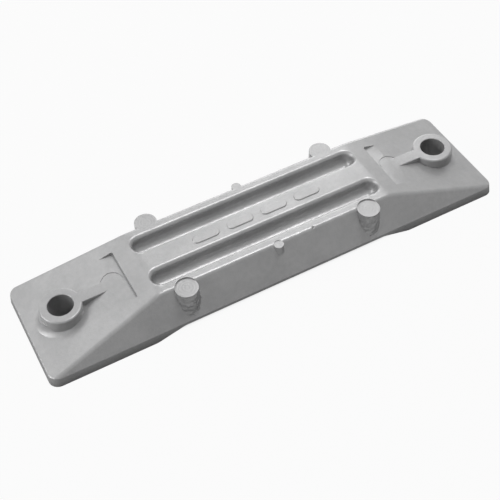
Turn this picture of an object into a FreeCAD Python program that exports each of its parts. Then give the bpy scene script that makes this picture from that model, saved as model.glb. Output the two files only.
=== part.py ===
"""Bar-shaped sacrificial anode, cast in one piece.

Millimetres. X runs along the bar, Y across it, Z up. The origin is the middle of
the footprint, on the plane that the two feet stand on.
"""
import FreeCAD, Part
import math
import os

from FreeCAD import Vector

# Overall block
length = 216.0
width = 54.6
height = 18.7
end_height = 4.3
flat_length = 110.0
top_width = 37.5
end_draft_inset = 0.5
corner_radius = 4.5
crest_radius = 16.0
top_edge_radius = 2.2
end_edge_radius = 0.7

# Bridge under the bar: a foot at each end, raised between them
foot_length = 46.5
bridge_rise = 3.0
bridge_step_run = 12.8
bridge_step_radius = 9.0

# Bolt holes and their bosses
hole_spacing = 183.0
hole_diameter = 11.0
hole_chamfer = 0.2
boss_diameter = 18.2
boss_height = 14.2
boss_draft = 2.0
boss_rim_radius = 0.9

# Hollow blend on the downhill side of each boss
skirt_radius = 4.2
skirt_top_radius = 6.9
skirt_fade = 0.06

# Rib from each boss into the ramp
rib_width = 5.6
rib_edge_radius = 0.5

# Shallow pocket at the head of each ramp
pocket_spacing = 125.0
pocket_width = 27.4
pocket_depth = 1.7
pocket_corner_radius = 1.0

# Half ring that an ejector pin leaves on each ramp, on the +Y side only
ring_spacing = 137.2
ring_diameter = 10.2
ring_line = 0.4
ring_depth = 0.25

# Two round-bottomed grooves along the top
groove_length = 108.4
groove_width = 7.6
groove_spacing = 19.9
groove_depth = 7.2
groove_rim_radius = 2.1

# Four round ejector lugs and two small ones on the edges of the top
lug_diameter = 9.9
lug_spacing_x = 87.2
lug_spacing_y = 41.2
lug_drop = 0.6
lug_draft = 2.0
stub_diameter = 4.3
stub_spacing_y = 38.8
stub_drop = 0.2

# Row of plain raised pads along the middle of the top
pad_count = 4
pad_pitch = 16.4
pad_length = 12.4
pad_width = 4.4
pad_rise = 0.45
pad_edge_bevel = 0.25

# Nick in the rounded edge of the top, on the -Y side
nick_x = 17.2
nick_diameter = 1.8

# Working clearance of the cutting solids, not a size of the part
overrun = 5.0
rim_lift = 0.02

# How level a face is: the upward share of its normal on a top and on a wall
level_face = 0.8
wall_face = 0.3

# Values that follow from the sizes above
half_length = length / 2
half_width = width / 2
half_flat = flat_length / 2
ramp_foot = half_length - end_draft_inset
ramp_slope = (height - end_height) / (ramp_foot - half_flat)
ramp_angle = math.degrees(math.atan(ramp_slope))
side_foot = half_width - end_draft_inset
side_slope = (side_foot - top_width / 2) / (height - end_height)
draft_slope = end_draft_inset / end_height
origin = Vector(0, 0, 0)
upward = Vector(0, 0, 1)


def ramp_z(x):
    """Height of the ramp at distance x from the middle of the bar."""
    return height - ramp_slope * (x - half_flat)


def rounded_outline(corners, radii):
    """Closed wire in the XZ plane with each corner rounded to its own radius."""
    count = len(corners)
    rounds = []
    for i, radius in enumerate(radii):
        here = Vector(corners[i][0], 0, corners[i][1])
        before = Vector(corners[i - 1][0], 0, corners[i - 1][1])
        after = Vector(corners[(i + 1) % count][0], 0, corners[(i + 1) % count][1])
        back = (before - here).normalize()
        ahead = (after - here).normalize()
        half_turn = back.getAngle(ahead) / 2
        reach = radius / math.tan(half_turn)
        inward = (back + ahead).normalize()
        middle = here + inward * (radius / math.sin(half_turn) - radius)
        rounds.append((here + back * reach, middle, here + ahead * reach))
    edges = []
    for i, radius in enumerate(radii):
        first, middle, last = rounds[i]
        if radius:
            edges.append(Part.Arc(first, middle, last).toShape())
        following = rounds[(i + 1) % count][0]
        edges.append(Part.LineSegment(last, following).toShape())
    return Part.Wire(edges)


def side_profile():
    """The bar seen from the side, drawn longer than the bar and cut off later."""
    end = half_length + overrun
    inner_foot = half_length - foot_length
    arch = inner_foot - bridge_step_run
    corners = [
        (-end, 0), (-inner_foot, 0), (-arch, bridge_rise),
        (arch, bridge_rise), (inner_foot, 0), (end, 0),
        (end, ramp_z(end)), (half_flat, height),
        (-half_flat, height), (-end, ramp_z(end)),
    ]
    step = bridge_step_radius
    crest = crest_radius
    radii = [0, step, step, step, step, 0, 0, crest, crest, 0]
    face = Part.Face(rounded_outline(corners, radii))
    depth = width + 2 * overrun
    return face.translated(Vector(0, -depth / 2, 0)).extrude(Vector(0, depth, 0))


def cross_section():
    """Straight prism with the two sloping sides of the bar."""
    low = -overrun
    high = height + overrun
    foot = side_foot + side_slope * (end_height - low)
    crown = side_foot - side_slope * (high - end_height)
    start = -half_length - overrun
    points = [
        Vector(start, -foot, low), Vector(start, foot, low),
        Vector(start, crown, high), Vector(start, -crown, high),
    ]
    face = Part.Face(Part.makePolygon(points + points[:1]))
    return face.extrude(Vector(length + 2 * overrun, 0, 0))


def drafted_block():
    """Block of the footprint with drafted walls and round upright corners."""
    low = -overrun
    high = height + overrun
    grow = draft_slope * overrun
    shrink = draft_slope * high
    block = Part.makeWedge(
        -half_length - grow, low, -half_width - grow,
        -half_width + shrink, -half_length + shrink,
        half_length + grow, high, half_width + grow,
        half_width - shrink, half_length - shrink)
    block.rotate(origin, Vector(1, 0, 0), 90)
    upright = [edge for edge in block.Edges
               if abs(edge.Vertexes[0].Z - edge.Vertexes[1].Z) > height]
    return block.makeFillet(corner_radius, upright)


def faces_at(shape, edge):
    """Outward normals, at the edge's middle, of the two faces that meet there."""
    point = edge.valueAt((edge.FirstParameter + edge.LastParameter) / 2)
    normals = []
    for face in shape.ancestorsOfType(edge, Part.Face):
        u, v = face.Surface.parameter(point)
        normals.append(face.normalAt(u, v))
    normals.sort(key=lambda normal: normal.z)
    return normals


def bar():
    """Hipped bar: side profile and sloping sides, then the footprint's walls."""
    body = side_profile().common(cross_section())
    crests = []
    for edge in body.Edges:
        steep, level = faces_at(body, edge)
        if level.z > level_face and wall_face < steep.z < level_face:
            crests.append(edge)
    body = body.makeFillet(top_edge_radius, crests).common(drafted_block())
    rim = []
    for edge in body.Edges:
        normals = faces_at(body, edge)
        if len(normals) < 2 or edge.BoundBox.ZMin < end_height / 2:
            continue
        if abs(normals[0].z) < wall_face < normals[1].z:
            rim.append(edge)
    return body.makeFillet(end_edge_radius, rim)


def profile_face(points):
    """Face in the XZ plane inside a run of lines and (middle, end) arcs."""
    edges = []
    here = Vector(points[0][0], 0, points[0][1])
    for item in points[1:]:
        there = Vector(item[-2], 0, item[-1])
        if len(item) > 2:
            middle = Vector(item[0], 0, item[1])
            edges.append(Part.Arc(here, middle, there).toShape())
        else:
            edges.append(Part.LineSegment(here, there).toShape())
        here = there
    first = Vector(points[0][0], 0, points[0][1])
    edges.append(Part.LineSegment(here, first).toShape())
    return Part.Face(Part.Wire(edges))


def lathe(points):
    """Solid of revolution about Z of the face inside the points."""
    return profile_face(points).revolve(origin, upward, 360)


def both_ends(shape):
    """The shape modelled at the +X end, and its half turn at the other end."""
    other = shape.copy()
    other.rotate(origin, upward, 180)
    return [shape, other]


def pocket_cutter():
    """Level-floored notch that runs out of the ramp downhill."""
    wall = pocket_spacing / 2
    floor = ramp_z(wall) - pocket_depth
    run = pocket_depth / ramp_slope + overrun
    box = Part.makeBox(run, pocket_width, pocket_depth + overrun,
                       Vector(wall, -pocket_width / 2, floor))
    corners = [edge for edge in box.Edges
               if abs(edge.Vertexes[0].Z - edge.Vertexes[1].Z) > pocket_depth
               and edge.Vertexes[0].X < wall + pocket_depth / 2]
    return box.makeFillet(pocket_corner_radius, corners)


def ring_marks(body):
    """Thin half rings, sunk one even depth into whatever surface lies under them."""
    outer = ring_diameter / 2
    tall = height + overrun
    centre = Vector(ring_spacing / 2, 0, end_height)
    disc = Part.makeCylinder(outer, tall, centre, upward, 180)
    core = Part.makeCylinder(outer - ring_line, tall, centre)
    mark = disc.cut(core).cut(body.translated(Vector(0, 0, -ring_depth)))
    return [mark, mark.mirror(origin, Vector(1, 0, 0))]


def boss():
    """Drafted round boss with a rounded rim, its foot buried in the ramp."""
    low = bridge_rise
    top = boss_diameter / 2
    foot = top + (boss_height - low) * math.tan(math.radians(boss_draft))
    rim = boss_rim_radius
    diagonal = rim * (1 - math.sqrt(0.5))
    shape = lathe([
        (0, low), (foot, low), (top, boss_height - rim),
        (top - diagonal, boss_height - diagonal, top - rim, boss_height),
        (0, boss_height),
    ])
    return shape.translated(Vector(hole_spacing / 2, 0, 0))


def skirt():
    """Hollow blend square to the ramp, moved downhill so that it fades uphill."""
    blend = skirt_radius
    top = skirt_top_radius
    rise = blend - skirt_fade
    outer = top + blend
    angle = math.acos(rise / blend)
    edge_r = outer - blend * math.sin(angle)
    half = (math.pi / 2 + angle) / 2
    middle_r = outer - blend * math.sin(half)
    middle_z = rise - blend * math.cos(half)
    shape = lathe([
        (0, -bridge_rise), (edge_r, -bridge_rise), (edge_r, 0),
        (middle_r, middle_z, top, rise), (0, rise),
    ])
    shape.rotate(origin, Vector(0, 1, 0), ramp_angle)
    shift = boss_diameter / 2 - top
    x = hole_spacing / 2 + shift * math.cos(math.radians(ramp_angle))
    return shape.translated(Vector(x, 0, ramp_z(x)))


def rib():
    """Level rib from the boss back into the ramp, with rounded upper edges."""
    back = half_flat + (height - boss_height) / ramp_slope - overrun
    run = hole_spacing / 2 - back
    tall = boss_height - bridge_rise
    box = Part.makeBox(run, rib_width, tall, Vector(back, -rib_width / 2, bridge_rise))
    upper = [edge for edge in box.Edges
             if edge.BoundBox.ZMin > boss_height - rib_edge_radius
             and edge.BoundBox.XLength > run / 2]
    return box.makeFillet(rib_edge_radius, upper)


def bolt_hole():
    """Through hole with a small chamfer at the boss top."""
    r = hole_diameter / 2
    mouth = r + hole_chamfer + overrun
    shape = lathe([
        (0, -overrun), (r, -overrun), (r, boss_height - hole_chamfer),
        (mouth, boss_height + overrun), (0, boss_height + overrun),
    ])
    return shape.translated(Vector(hole_spacing / 2, 0, 0))


def groove_cutter():
    """Round-nosed slot whose rim flares out into the flat top."""
    r = groove_width / 2
    rim = groove_rim_radius
    floor = height - groove_depth
    lip = height + rim_lift
    bevel = math.sqrt(0.5)
    half_section = profile_face([
        (0, floor), (r * bevel, floor + r - r * bevel, r, floor + r), (r, lip - rim),
        (r + rim - rim * bevel, lip - rim + rim * bevel, r + rim, lip),
        (r + rim, height + overrun), (0, height + overrun),
    ])
    nose = half_section.revolve(origin, upward, 360)
    run = groove_length - groove_width
    start = Vector(-run / 2, 0, 0)
    slot = nose.translated(start).fuse(nose.translated(-start))
    for turn in (-90, 90):
        side = half_section.copy()
        side.rotate(origin, upward, turn)
        slot = slot.fuse(side.translated(start).extrude(start * -2))
    return slot


def lug(diameter, top, x, y):
    """Drafted round lug, and the shallow recess over the part inside the top."""
    spread = (top - end_height) * math.tan(math.radians(lug_draft))
    cone = Part.makeCone(diameter / 2 + spread, diameter / 2, top - end_height,
                         Vector(x, y, end_height))
    recess = Part.makeCylinder(diameter / 2, overrun, Vector(x, y, top))
    return cone, recess


def all_lugs():
    """Every lug and its recess: four large ones and two small at mid-length."""
    places = []
    for side in (-1, 1):
        places.append((stub_diameter, height - stub_drop, 0, side * stub_spacing_y / 2))
        for end in (-1, 1):
            places.append((lug_diameter, height - lug_drop,
                           end * lug_spacing_x / 2, side * lug_spacing_y / 2))
    return [lug(*place) for place in places]


def raised_pads():
    """Round-ended pads in a row, their feet sunk into the top."""
    low = height - overrun / 2
    tall = overrun / 2 + pad_rise
    r = pad_width / 2
    run = pad_length - pad_width
    pad = Part.makeBox(run, pad_width, tall, Vector(-run / 2, -r, low))
    for end in (-1, 1):
        pad = pad.fuse(Part.makeCylinder(r, tall, Vector(end * run / 2, 0, low)))
    pad = pad.removeSplitter()
    crown = height + pad_rise
    upper = [edge for edge in pad.Edges if edge.BoundBox.ZMin > crown - pad_edge_bevel]
    pad = pad.makeChamfer(pad_edge_bevel, upper)
    first = -pad_pitch * (pad_count - 1) / 2
    return [pad.translated(Vector(first + pad_pitch * i, 0, 0)) for i in range(pad_count)]


def nick():
    """Ball that bites into the rounded edge between the flat top and the sloping side."""
    r = nick_diameter / 2
    return Part.makeSphere(r, Vector(nick_x, -top_width / 2, height))


def casting():
    """The whole casting as one solid."""
    body = bar()
    for cutter in both_ends(pocket_cutter()):
        body = body.cut(cutter)
    for mark in ring_marks(body):
        body = body.cut(mark)
    for add in (skirt(), boss(), rib()):
        for shape in both_ends(add):
            body = body.fuse(shape)
    for cutter in both_ends(bolt_hole()):
        body = body.cut(cutter)
    for cone, recess in all_lugs():
        body = body.fuse(cone)
        body = body.cut(recess)
    for side in (-1, 1):
        shift = Vector(0, side * groove_spacing / 2, 0)
        body = body.cut(groove_cutter().translated(shift))
    for pad in raised_pads():
        body = body.fuse(pad)
    body = body.cut(nick())
    return body.removeSplitter().Solids[0]


os.makedirs("parts", exist_ok=True)
anode = casting()
anode.exportStep("parts/anode_casting.step")
print("anode_casting", anode.ShapeType, "valid", anode.isValid(),
      "faces", len(anode.Faces), "volume", round(anode.Volume / 1000, 2), "cm3")
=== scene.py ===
# %% [markdown]
# # A cast anode, dressed for its picture
#
# A sacrificial anode is a lump of alloy that is bolted to a boat so that it corrodes
# instead of the boat. This one is a bar cast in a mould in one go, so there is one piece
# to dress: the casting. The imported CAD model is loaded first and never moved. Everything
# here is in metres, with X along the bar, Y across it and Z up.

import math

import bpy
import numpy as np
from mathutils import Matrix, Vector


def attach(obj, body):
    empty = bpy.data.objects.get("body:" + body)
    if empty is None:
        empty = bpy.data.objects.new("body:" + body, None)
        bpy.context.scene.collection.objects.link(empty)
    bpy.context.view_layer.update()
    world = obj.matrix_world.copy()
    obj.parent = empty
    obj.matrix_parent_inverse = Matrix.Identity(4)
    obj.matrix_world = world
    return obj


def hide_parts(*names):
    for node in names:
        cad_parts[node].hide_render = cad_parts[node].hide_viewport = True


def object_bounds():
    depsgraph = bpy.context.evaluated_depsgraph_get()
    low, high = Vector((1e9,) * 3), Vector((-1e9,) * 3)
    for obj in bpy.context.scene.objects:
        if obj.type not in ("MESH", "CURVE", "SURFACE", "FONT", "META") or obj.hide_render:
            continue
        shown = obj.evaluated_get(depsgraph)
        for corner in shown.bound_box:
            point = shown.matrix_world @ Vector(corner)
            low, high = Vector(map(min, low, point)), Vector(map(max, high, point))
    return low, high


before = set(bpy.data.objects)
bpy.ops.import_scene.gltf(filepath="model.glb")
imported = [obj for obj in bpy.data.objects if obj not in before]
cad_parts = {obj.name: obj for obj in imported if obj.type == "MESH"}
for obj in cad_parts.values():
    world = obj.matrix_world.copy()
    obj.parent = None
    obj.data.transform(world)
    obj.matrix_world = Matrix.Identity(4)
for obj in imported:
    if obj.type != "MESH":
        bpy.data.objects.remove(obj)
cad_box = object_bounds()
print("CAD box, metres:", [[round(v, 4) for v in corner] for corner in cad_box])

# %% [markdown]
# ## The casting's skin
#
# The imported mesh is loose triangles, each with its own three corners, so light falls on
# it facet by facet. A copy could be subdivided to round it off, but that would also melt
# the crisp rims and the shallow marks. So the copy only has its corners merged: corners
# that round to the same point of a very fine grid become one.

# %% Merge a copy of the node
MERGE_GRID = 1e-6


def merged_copy(node, name):
    """Object with the node's triangles; corners with equal round(corner / grid) are one."""
    source = node.data
    corners = np.empty(len(source.vertices) * 3)
    source.vertices.foreach_get("co", corners)
    corners = corners.reshape(-1, 3)
    triangles = np.empty(len(source.loops), dtype=np.int64)
    source.loops.foreach_get("vertex_index", triangles)
    grid = np.round(corners / MERGE_GRID).astype(np.int64)
    first, place = np.unique(grid, axis=0, return_index=True, return_inverse=True)[1:]
    faces = place.reshape(-1)[triangles].reshape(-1, 3)
    a, b, c = faces.T
    whole = (a != b) & (b != c) & (c != a)
    mesh = bpy.data.meshes.new(name)
    mesh.from_pydata(corners[first].tolist(), [], faces[whole].tolist())
    mesh.update()
    piece = bpy.data.objects.new(name, mesh)
    bpy.context.scene.collection.objects.link(piece)
    return piece


casting = merged_copy(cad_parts["anode_casting"], "cast_bar")
print("cast_bar:", len(casting.data.vertices), "corners,", len(casting.data.polygons), "triangles")

# %% [markdown]
# ## Crisp edges and smooth rounds on one mesh
#
# The real bar has flat faces, rolled rims and a few hard corners. An edge is therefore
# kept sharp where its two faces meet at more than an angle, and is shaded smooth
# elsewhere. Weighted normals then let the large flat faces win over the thin ones of the
# rounded edges beside them, so that the flats look flat.

# %% Shade it by angle
SHARP_ANGLE = math.radians(32)
FLAT_WEIGHT = 100

casting.data.shade_smooth()
casting.data.set_sharp_from_angle(angle=SHARP_ANGLE)
weighted = casting.modifiers.new("flat faces first", "WEIGHTED_NORMAL")
weighted.mode = "FACE_AREA"
weighted.weight = FLAT_WEIGHT
weighted.keep_sharp = True
print("edges kept sharp:", sum(edge.use_edge_sharp for edge in casting.data.edges))

# %% [markdown]
# ## Wiring nodes from a script
#
# In the shader editor a finish is boxes joined by wires. Written out, each box takes
# several lines, which hides the idea. Three small helpers make a group, a piece of
# arithmetic and a noise in one call each, so that a formula can be read in one place.

# %% Helpers: node group, arithmetic and noise
NOISE_ROUGHNESS = 0.55


def new_group(name, inputs, outputs):
    """Empty shader node group with its inlet and outlet; sockets are given as label: kind."""
    group = bpy.data.node_groups.new(name, "ShaderNodeTree")
    for way, sockets in (("INPUT", inputs), ("OUTPUT", outputs)):
        for label, kind in sockets.items():
            group.interface.new_socket(name=label, in_out=way, socket_type="NodeSocket" + kind)
    return group, group.nodes.new("NodeGroupInput"), group.nodes.new("NodeGroupOutput")


def maths(tree, operation, *operands, clamp=False):
    """Output of a Math node; each operand is a number or the output of another node."""
    node = tree.nodes.new("ShaderNodeMath")
    node.operation = operation
    node.use_clamp = clamp
    for socket, operand in zip(node.inputs, operands):
        if isinstance(operand, (int, float)):
            socket.default_value = operand
        else:
            tree.links.new(operand, socket)
    return node.outputs[0]


def noise(tree, point, scale, detail):
    """Noise with so many waves per metre, less a half, so that it swings about zero."""
    node = tree.nodes.new("ShaderNodeTexNoise")
    node.inputs["Scale"].default_value = scale
    node.inputs["Detail"].default_value = detail
    node.inputs["Roughness"].default_value = NOISE_ROUGHNESS
    tree.links.new(point, node.inputs["Vector"])
    return maths(tree, "SUBTRACT", node.outputs["Fac"], 0.5)


print("helpers: new_group, maths and noise")

# %% [markdown]
# ## Grain that any cast skin can share
#
# A casting copies its mould, so its skin is uneven at several sizes: fine grain, shallow
# dimples a few millimetres across, odd pits, and slow clouds of lighter and darker grey.
# A photograph of metal could be wrapped round it, but that would need a flat layout of a
# lumpy shape. Noise worked out from the point in space needs none and has no seams, so it
# goes into a node group with named inputs that gives a height and a tone.

# %% Node group: cast grain
# Waves per metre, and how many finer layers lie on top of them.
FINE = (2200, 3)
DIMPLE = (420, 2)
CLOUD = (55, 3)
# Pits per metre, the radius of one as a share of their spacing, and the speckle's share.
PIT_SCALE = 330
PIT_REACH = 0.13
SPECKLE = 0.5


def cast_grain():
    """Height = Grain fine + Dimples dimple - Pits pit. Tone = cloud + SPECKLE (fine + dimple).

    A pit is PIT_REACH less the distance to the nearest Voronoi point, and never below zero.
    """
    inputs = {"Point": "Vector", "Grain": "Float", "Dimples": "Float", "Pits": "Float"}
    group, inlet, outlet = new_group("cast grain", inputs, {"Height": "Float", "Tone": "Float"})
    point = inlet.outputs["Point"]
    fine = noise(group, point, *FINE)
    dimple = noise(group, point, *DIMPLE)
    cloud = noise(group, point, *CLOUD)
    cells = group.nodes.new("ShaderNodeTexVoronoi")
    cells.inputs["Scale"].default_value = PIT_SCALE
    group.links.new(point, cells.inputs["Vector"])
    pit = maths(group, "SUBTRACT", PIT_REACH, cells.outputs["Distance"], clamp=True)
    height = maths(group, "MULTIPLY", fine, inlet.outputs["Grain"])
    height = maths(group, "MULTIPLY_ADD", dimple, inlet.outputs["Dimples"], height)
    sunk = maths(group, "MULTIPLY", pit, inlet.outputs["Pits"])
    tone = maths(group, "MULTIPLY_ADD", fine, SPECKLE, cloud)
    tone = maths(group, "MULTIPLY_ADD", dimple, SPECKLE, tone)
    group.links.new(maths(group, "SUBTRACT", height, sunk), outlet.inputs["Height"])
    group.links.new(tone, outlet.inputs["Tone"])
    return group


GRAIN = cast_grain()
print("node group", GRAIN.name, "with", len(GRAIN.nodes), "nodes")

# %% [markdown]
# ## Marks that the ejector pins leave
#
# The four large round lugs are where pins pushed the hot casting out of its mould. Their
# walls tore a little and are rougher than the rest, and their tops show the faint turned
# rings of the pins' ends. Four separate materials would need the casting to be cut up.
# Instead one distance does for all four: taking X and Y without their signs lays the lugs
# on top of each other.

# %% Helper: distance after folding
LUG_AXIS = (0.0436, 0.0206)
LUG_REACH = 0.0056
LUG_TOP = 0.0178
RING_PITCH = 0.0013


def folded_distance(tree, point, halves, inside_zero=False):
    """Distance in X and Y from the folded point, |p|, to halves, and the point's Z.

    It is the length of q = |p| - halves. With inside_zero, q is never below zero, which
    gives the distance from the whole rectangle that reaches from -halves to halves.
    """
    split = tree.nodes.new("ShaderNodeSeparateXYZ")
    tree.links.new(point, split.inputs["Vector"])
    squares = []
    for axis, half in zip("XY", halves):
        side = maths(tree, "SUBTRACT", maths(tree, "ABSOLUTE", split.outputs[axis]), half)
        if inside_zero:
            side = maths(tree, "MAXIMUM", side, 0)
        squares.append(maths(tree, "MULTIPLY", side, side))
    return maths(tree, "SQRT", maths(tree, "ADD", *squares)), split.outputs["Z"]


print("lug axes, metres:", LUG_AXIS, "and their mirror images")

# %% Node group: lug marks


def lug_marks():
    """Wall = one on the lugs below LUG_TOP. Rings = sin(2 pi distance / RING_PITCH) above it."""
    outputs = {"Wall": "Float", "Rings": "Float"}
    group, inlet, outlet = new_group("lug marks", {"Point": "Vector"}, outputs)
    away, level = folded_distance(group, inlet.outputs["Point"], LUG_AXIS)
    near = maths(group, "LESS_THAN", away, LUG_REACH)
    wall = maths(group, "MULTIPLY", near, maths(group, "LESS_THAN", level, LUG_TOP))
    top = maths(group, "SUBTRACT", near, wall)
    wave = maths(group, "SINE", maths(group, "MULTIPLY", away, 2 * math.pi / RING_PITCH))
    group.links.new(wall, outlet.inputs["Wall"])
    group.links.new(maths(group, "MULTIPLY", wave, top), outlet.inputs["Rings"])
    return group


LUGS = lug_marks()
print("node group", LUGS.name, "with", len(LUGS.nodes), "nodes")

# %% [markdown]
# ## Bare cast metal
#
# The real finish is alloy straight from the mould: light neutral grey, satin, and brighter
# along the rims where the skin turns towards a lamp. It is left bare, because the alloy
# has to touch the water to work. Polished alloy would be all mirror, but a cast skin is
# dull with oxide and scatters most of its light, so the shader is about a third metal
# with a broad highlight. The grain varies its colour, its roughness and its height a
# little, and varies its colour and its height more on the walls of the lugs.

# %% Colours and strengths of the finish
ALLOY_DARK = (0.39, 0.39, 0.393, 1)
ALLOY_LIGHT = (0.46, 0.46, 0.462, 1)
CONTRAST = 2.4
CONTRAST_MORE_ON_WALLS = 5.0
METAL_SHARE = 0.3
ROUGHNESS = 0.35
ROUGHNESS_PER_TONE = -0.10
GRAIN_HEIGHT = 0.4
PIT_DEPTH = 2.0
DIMPLE_HEIGHT = 1.2
DIMPLE_MORE_ON_WALLS = 11.0
RING_HEIGHT = 0.18
BUMP_STRENGTH = 0.8
BUMP_DISTANCE = 0.0001
print("grey from", ALLOY_DARK[0], "to", ALLOY_LIGHT[0], "in linear light, roughness", ROUGHNESS)

# %% Material: cast metal


def placed_group(tree, group, point, **numbers):
    """Node that holds the group, fed with the point and with plain numbers by name."""
    node = tree.nodes.new("ShaderNodeGroup")
    node.node_tree = group
    tree.links.new(point, node.inputs["Point"])
    for label, number in numbers.items():
        node.inputs[label].default_value = number
    return node


def cast_metal():
    """Principled metal: tone sets colour and roughness, height plus rings set the bump.

    Contrast and dimples are a plain number on the skin and that number plus more on a wall.
    """
    material = bpy.data.materials.new("cast_metal")
    material.use_nodes = True
    tree = material.node_tree
    tree.nodes.clear()
    point = tree.nodes.new("ShaderNodeTexCoord").outputs["Object"]
    grain = placed_group(tree, GRAIN, point, Grain=GRAIN_HEIGHT, Pits=PIT_DEPTH)
    lugs = placed_group(tree, LUGS, point)
    wall = lugs.outputs["Wall"]
    tone = grain.outputs["Tone"]
    dimples = maths(tree, "MULTIPLY_ADD", wall, DIMPLE_MORE_ON_WALLS, DIMPLE_HEIGHT)
    tree.links.new(dimples, grain.inputs["Dimples"])
    mix = tree.nodes.new("ShaderNodeMix")
    mix.data_type = "RGBA"
    mix.inputs["A"].default_value = ALLOY_DARK
    mix.inputs["B"].default_value = ALLOY_LIGHT
    contrast = maths(tree, "MULTIPLY_ADD", wall, CONTRAST_MORE_ON_WALLS, CONTRAST)
    light_share = maths(tree, "MULTIPLY_ADD", tone, contrast, 0.5, clamp=True)
    tree.links.new(light_share, mix.inputs["Factor"])
    bump = tree.nodes.new("ShaderNodeBump")
    bump.inputs["Strength"].default_value = BUMP_STRENGTH
    bump.inputs["Distance"].default_value = BUMP_DISTANCE
    height = maths(tree, "MULTIPLY_ADD", lugs.outputs["Rings"], RING_HEIGHT, grain.outputs["Height"])
    tree.links.new(height, bump.inputs["Height"])
    shader = tree.nodes.new("ShaderNodeBsdfPrincipled")
    shader.inputs["Metallic"].default_value = METAL_SHARE
    tree.links.new(mix.outputs["Result"], shader.inputs["Base Color"])
    rough = maths(tree, "MULTIPLY_ADD", tone, ROUGHNESS_PER_TONE, ROUGHNESS)
    tree.links.new(rough, shader.inputs["Roughness"])
    tree.links.new(bump.outputs["Normal"], shader.inputs["Normal"])
    outlet = tree.nodes.new("ShaderNodeOutputMaterial")
    tree.links.new(shader.outputs["BSDF"], outlet.inputs["Surface"])
    return material


metal = cast_metal()
casting.data.materials.append(metal)
print("material", metal.name, "with", len(metal.node_tree.nodes), "nodes, on", casting.name)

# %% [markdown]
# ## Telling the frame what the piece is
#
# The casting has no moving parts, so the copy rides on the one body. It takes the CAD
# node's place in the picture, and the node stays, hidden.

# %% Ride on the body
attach(casting, "root")
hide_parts("anode_casting")
print(casting.name, "rides on root in place of anode_casting")

# %% [markdown]
# ## A pale floor in pale surroundings
#
# The photograph has a white ground. A floor that is only lit would have to be overexposed
# to look white, and then the metal would be too. So the floor's own colour is a plain
# grey, and rays that look straight at it, or by way of a reflection, see most of it as
# white. The surroundings do the same, so the metal mirrors the same white that the
# picture has behind it. What light reaches the metal from the floor is that of the grey,
# and the shadow stays. The glow stops a few millimetres inside the footprint, where a real
# floor would be in the dark, or the bolt holes would be lit from below. In reflections it
# fades over a longer stretch, because the ground close to a bar lies in its soft shadow.
# These fades are a painted shadow: the floor and what the metal mirrors of it are made darker close to
# the bar by distance, not by the lamps.

# %% Helpers: which ray, and how near to the part
WHITE_SHARE = 0.95
GLOW_INSET = 0.006
GLOW_HALVES = (cad_box[1][0] - GLOW_INSET, cad_box[1][1] - GLOW_INSET)
# Distances over which the painted shadow round the bar fades out, for direct and for mirrored rays.
DIRECT_SHADE_FADE = (0.0, 0.005)
MIRRORED_SHADE_FADE = (0.005, 0.018)


def ray_kinds(tree):
    """Two sockets: one for rays straight from the camera, one for mirrored and glass rays."""
    path = tree.nodes.new("ShaderNodeLightPath")
    mirrored = maths(tree, "MAXIMUM", path.outputs["Is Glossy Ray"], path.outputs["Is Transmission Ray"])
    return path.outputs["Is Camera Ray"], mirrored


def rising(tree, away, start, end):
    """Smooth rise from zero at the start distance to one at the end distance."""
    fade = tree.nodes.new("ShaderNodeMapRange")
    fade.interpolation_type = "SMOOTHSTEP"
    fade.inputs["From Min"].default_value = start
    fade.inputs["From Max"].default_value = end
    tree.links.new(away, fade.inputs["Value"])
    return fade.outputs["Result"]


def floor_glow(tree):
    """Share of white: direct rays lose it under the part, mirrored ones close beside it too."""
    # Both fades paint a shadow: the floor is seen darker close to the bar, and is mirrored darker there.
    direct, mirrored = ray_kinds(tree)
    point = tree.nodes.new("ShaderNodeTexCoord").outputs["Object"]
    away = folded_distance(tree, point, GLOW_HALVES, inside_zero=True)[0]
    direct = maths(tree, "MULTIPLY", direct, rising(tree, away, *DIRECT_SHADE_FADE))
    mirrored = maths(tree, "MULTIPLY", mirrored, rising(tree, away, *MIRRORED_SHADE_FADE))
    return maths(tree, "MULTIPLY", maths(tree, "MAXIMUM", direct, mirrored), WHITE_SHARE)


print("glow stops at", [round(half, 4) for half in GLOW_HALVES], "m from the middle")

# %% The floor
FLOOR_REACH = 3.0
FLOOR_CORNERS = 96
FLOOR_GREY = 0.4


def floor_material():
    """Matt grey, mixed with plain white by the glow."""
    material = bpy.data.materials.new("pale_floor")
    material.use_nodes = True
    tree = material.node_tree
    tree.nodes.clear()
    matt = tree.nodes.new("ShaderNodeBsdfDiffuse")
    matt.inputs["Color"].default_value = (FLOOR_GREY, FLOOR_GREY, FLOOR_GREY, 1)
    white = tree.nodes.new("ShaderNodeEmission")
    white.inputs["Strength"].default_value = 1.0
    mix = tree.nodes.new("ShaderNodeMixShader")
    outlet = tree.nodes.new("ShaderNodeOutputMaterial")
    tree.links.new(floor_glow(tree), mix.inputs["Fac"])
    tree.links.new(matt.outputs["BSDF"], mix.inputs[1])
    tree.links.new(white.outputs["Emission"], mix.inputs[2])
    tree.links.new(mix.outputs["Shader"], outlet.inputs["Surface"])
    return material


def pale_floor():
    """Flat disc at z = 0: corner k of n is at the angle 2 pi k / n on the rim."""
    turn = np.linspace(0, 2 * math.pi, FLOOR_CORNERS, endpoint=False)
    rim = FLOOR_REACH * np.stack([np.cos(turn), np.sin(turn), np.zeros(FLOOR_CORNERS)], axis=1)
    mesh = bpy.data.meshes.new("floor")
    mesh.from_pydata(rim.tolist(), [], [list(range(FLOOR_CORNERS))])
    mesh.materials.append(floor_material())
    floor = bpy.data.objects.new("floor", mesh)
    bpy.context.scene.collection.objects.link(floor)
    return floor


floor = pale_floor()
print("floor of radius", FLOOR_REACH, "m, seen", WHITE_SHARE, "white")

# %% The world
FILL = 0.02


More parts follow.
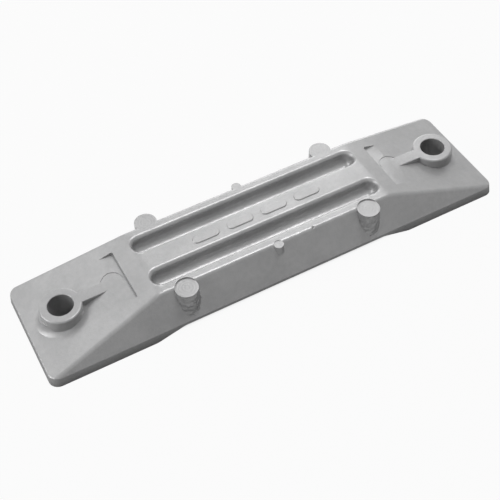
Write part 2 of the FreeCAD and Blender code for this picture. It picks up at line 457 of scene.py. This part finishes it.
def pale_world():
    """World of strength FILL, raised by WHITE_SHARE for looks and reflections."""
    world = bpy.data.worlds.new("studio")
    world.use_nodes = True
    tree = world.node_tree
    background = tree.nodes["Background"]
    background.inputs["Color"].default_value = (1, 1, 1, 1)
    looked_at = maths(tree, "MAXIMUM", *ray_kinds(tree))
    strength = maths(tree, "MULTIPLY_ADD", looked_at, WHITE_SHARE, FILL)
    tree.links.new(strength, background.inputs["Strength"])
    bpy.context.scene.world = world
    return world


world = pale_world()
print("world", world.name, "lights with", FILL, "and is seen at", round(WHITE_SHARE + FILL, 2))

# %% [markdown]
# ## The camera
#
# The photograph was taken from the front left, looking down at about fifty degrees. A
# camera could be aimed by eye, but the long edges and the two bolt holes fix it: they give
# the direction, the distance and how strongly the bar shrinks towards its far end. The
# camera's three axes are written out from those angles, so that the small roll of the
# picture is in them too.

# %% Camera at the photograph's viewing angle
CAMERA_TURN = math.radians(-25.34)
CAMERA_RISE = math.radians(49.76)
CAMERA_ROLL = math.radians(-3.58)
CAMERA_AWAY = 0.42518
CAMERA_AIM = Vector((-0.00793, -0.00751, 0.0072))
CAMERA_LENS = 70.71
CAMERA_SENSOR = 36
CAMERA_NEAR = 0.01


def place_camera():
    """Camera on the ray from the aim: back is its Z axis, and right and up turn by the roll."""
    back = Vector((
        math.sin(CAMERA_TURN) * math.cos(CAMERA_RISE),
        -math.cos(CAMERA_TURN) * math.cos(CAMERA_RISE),
        math.sin(CAMERA_RISE),
    ))
    level = Vector((math.cos(CAMERA_TURN), math.sin(CAMERA_TURN), 0))
    upright = back.cross(level)
    right = level * math.cos(CAMERA_ROLL) + upright * math.sin(CAMERA_ROLL)
    up = upright * math.cos(CAMERA_ROLL) - level * math.sin(CAMERA_ROLL)
    data = bpy.data.cameras.new("camera")
    data.sensor_width = CAMERA_SENSOR
    data.lens = CAMERA_LENS
    data.clip_start = CAMERA_NEAR
    camera = bpy.data.objects.new("camera", data)
    turn = Matrix((right, up, back)).transposed().to_4x4()
    camera.matrix_world = Matrix.Translation(CAMERA_AIM + back * CAMERA_AWAY) @ turn
    bpy.context.scene.collection.objects.link(camera)
    bpy.context.scene.camera = camera
    return camera


camera = place_camera()
print("camera at", [round(v, 4) for v in camera.location])

# %% [markdown]
# ## Soft studio light
#
# In the photograph the faces that look up or away from the camera are light, the near
# side is darker, and every rounded rim carries a thin bright line. So the light comes from
# large soft panels overhead, behind and to the left, and none comes from the front. The
# two low panels draw the lines along the rims, and the small one lights the hollow round
# the left boss. A hard lamp would give the metal sparkles instead of a sheen. Each panel
# is a square on a dome round the bar, so a turn, a rise, a width and a power are all that
# it needs.

# %% Lamps
LAMP_AWAY = 0.9
LAMPS = {
    "overhead": (110, 75, 0.30, 3.2),
    "high_left": (209, 46, 0.40, 0.4),
    "low_left": (266, 22, 0.60, 2.6),
    "small_left": (246, 31, 0.22, 1.1),
    "low_behind": (153, 16, 0.54, 2.5),
    "high_behind": (148, 50, 0.33, 0.65),
}


def add_lamp(name, turn, rise, width, power):
    """Square panel on a dome round the origin, facing it; turn 0 is the front, 90 the right."""
    data = bpy.data.lights.new(name, "AREA")
    data.shape = "SQUARE"
    data.size = width
    data.energy = power
    lamp = bpy.data.objects.new(name, data)
    spin = math.radians(turn)
    lift = math.radians(rise)
    toward = Vector((math.sin(spin) * math.cos(lift), -math.cos(spin) * math.cos(lift), math.sin(lift)))
    lamp.location = toward * LAMP_AWAY
    lamp.rotation_euler = toward.to_track_quat("Z", "Y").to_euler()
    bpy.context.scene.collection.objects.link(lamp)
    return lamp


for lamp_name, settings in LAMPS.items():
    lamp = add_lamp(lamp_name, *settings)
    print(lamp.name, "at", [round(v, 2) for v in lamp.location], "with", settings[-1], "W")
bpy.context.scene.view_settings.view_transform = "Standard"
